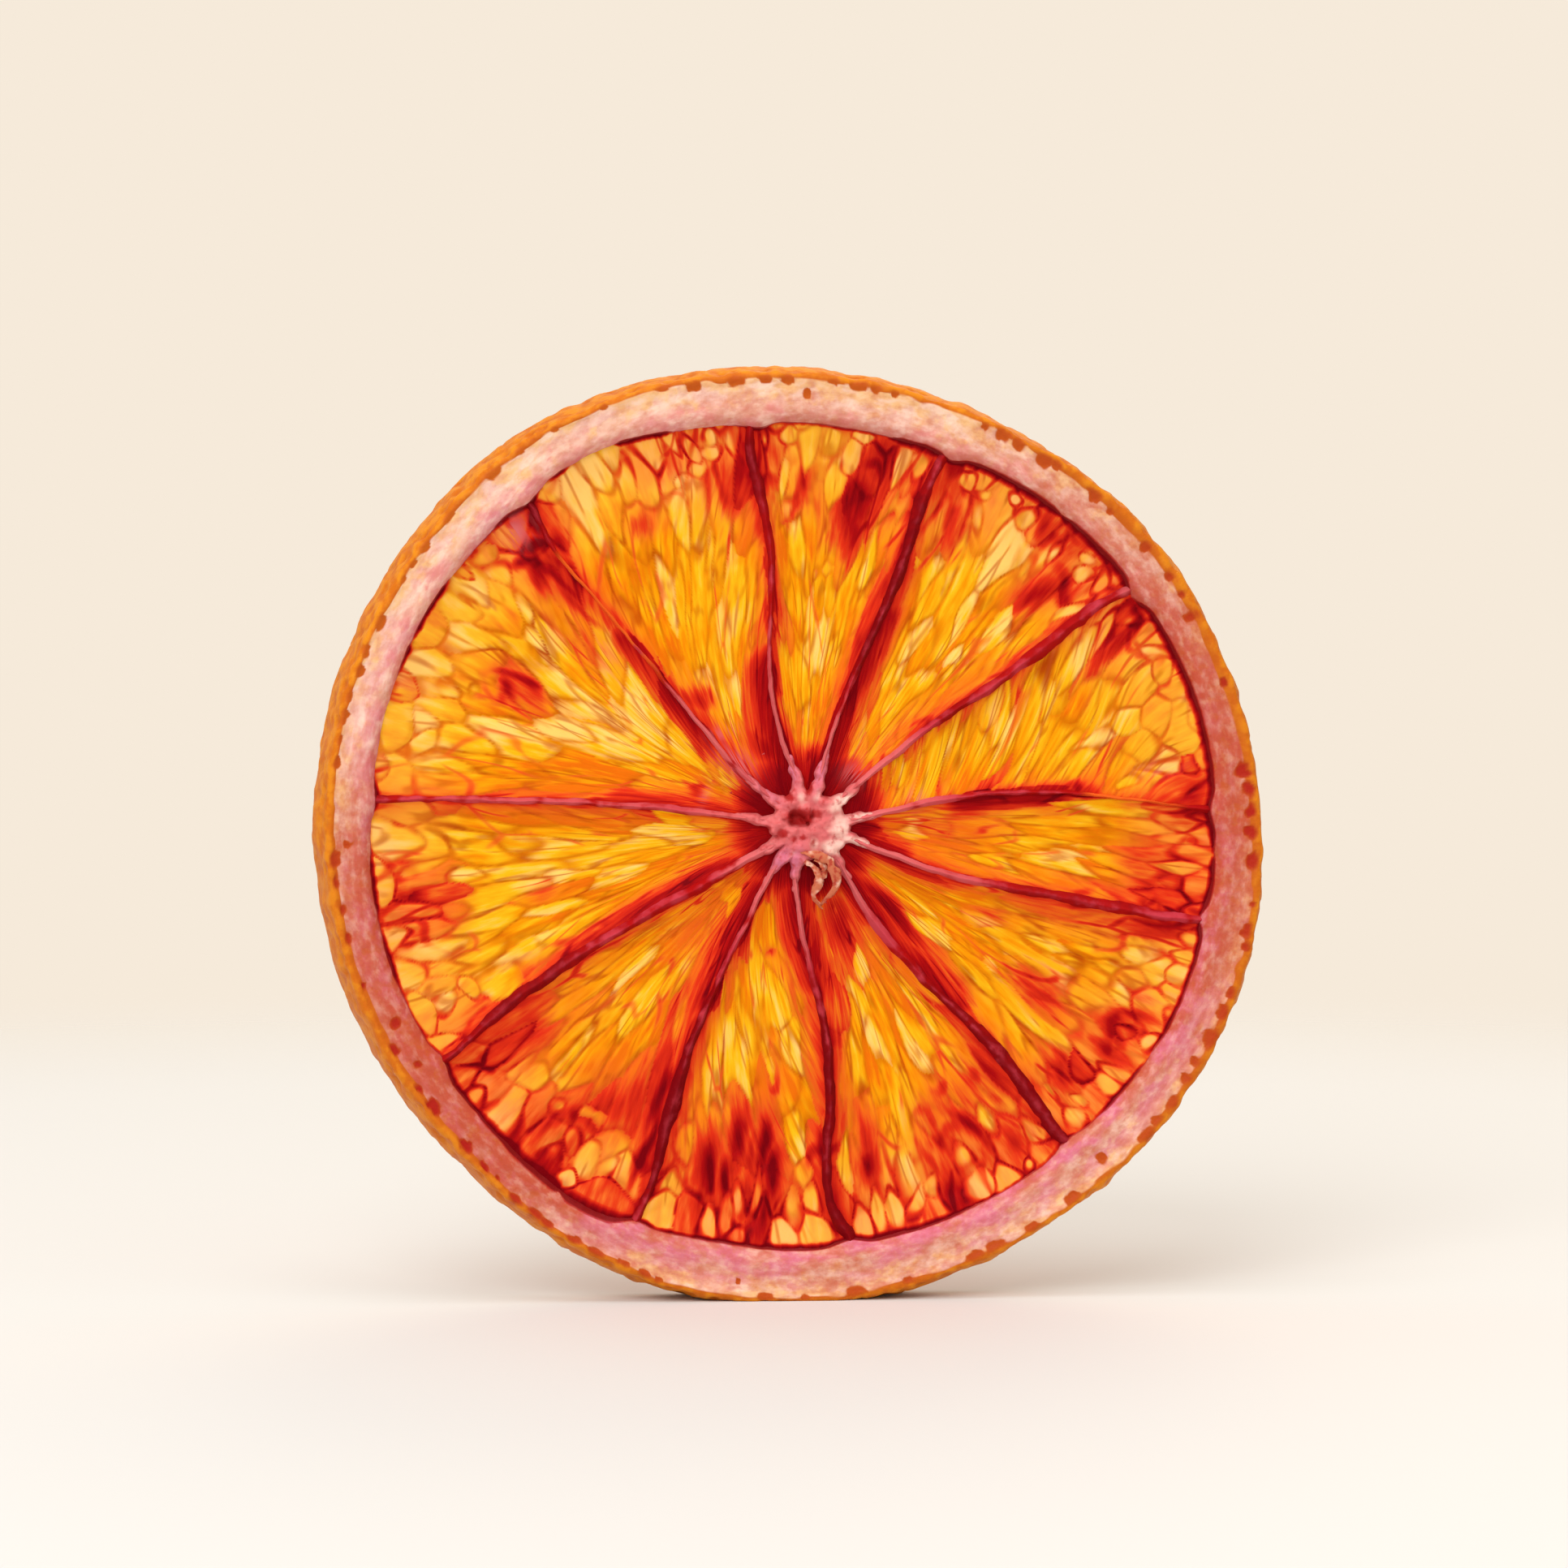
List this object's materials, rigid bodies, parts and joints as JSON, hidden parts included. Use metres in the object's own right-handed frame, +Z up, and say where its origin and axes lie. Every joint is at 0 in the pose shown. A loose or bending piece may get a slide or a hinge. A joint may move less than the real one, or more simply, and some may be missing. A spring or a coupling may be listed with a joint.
{
  "type": "dried citrus slice",
  "caption": "Dried round slice of red-fleshed orange with rind, pale pith, radial walls and shrunken juice sacs, standing on a small flat spot of its rim.",
  "frame": {"origin": "middle of the slice's footprint, on the plane that the flat spot of its rim stands on", "axes": "+Z up through the slice's height, +X across it, +Y through its thickness from the front face to the back face"},
  "size_m": [0.065, 0.005, 0.0636],
  "materials": {
    "rind": "dried orange peel, satin, pitted with oil glands",
    "pith": "dry pinkish white pith, matt and fibrous",
    "pulp": "dried juice sacs, translucent yellow to crimson, half gloss",
    "wall": "dark maroon segment walls with a pale crest",
    "core": "pink fibrous core"
  },
  "bodies": {
    "root": {"dried_slice": "rind"}
  },
  "joints": []
}
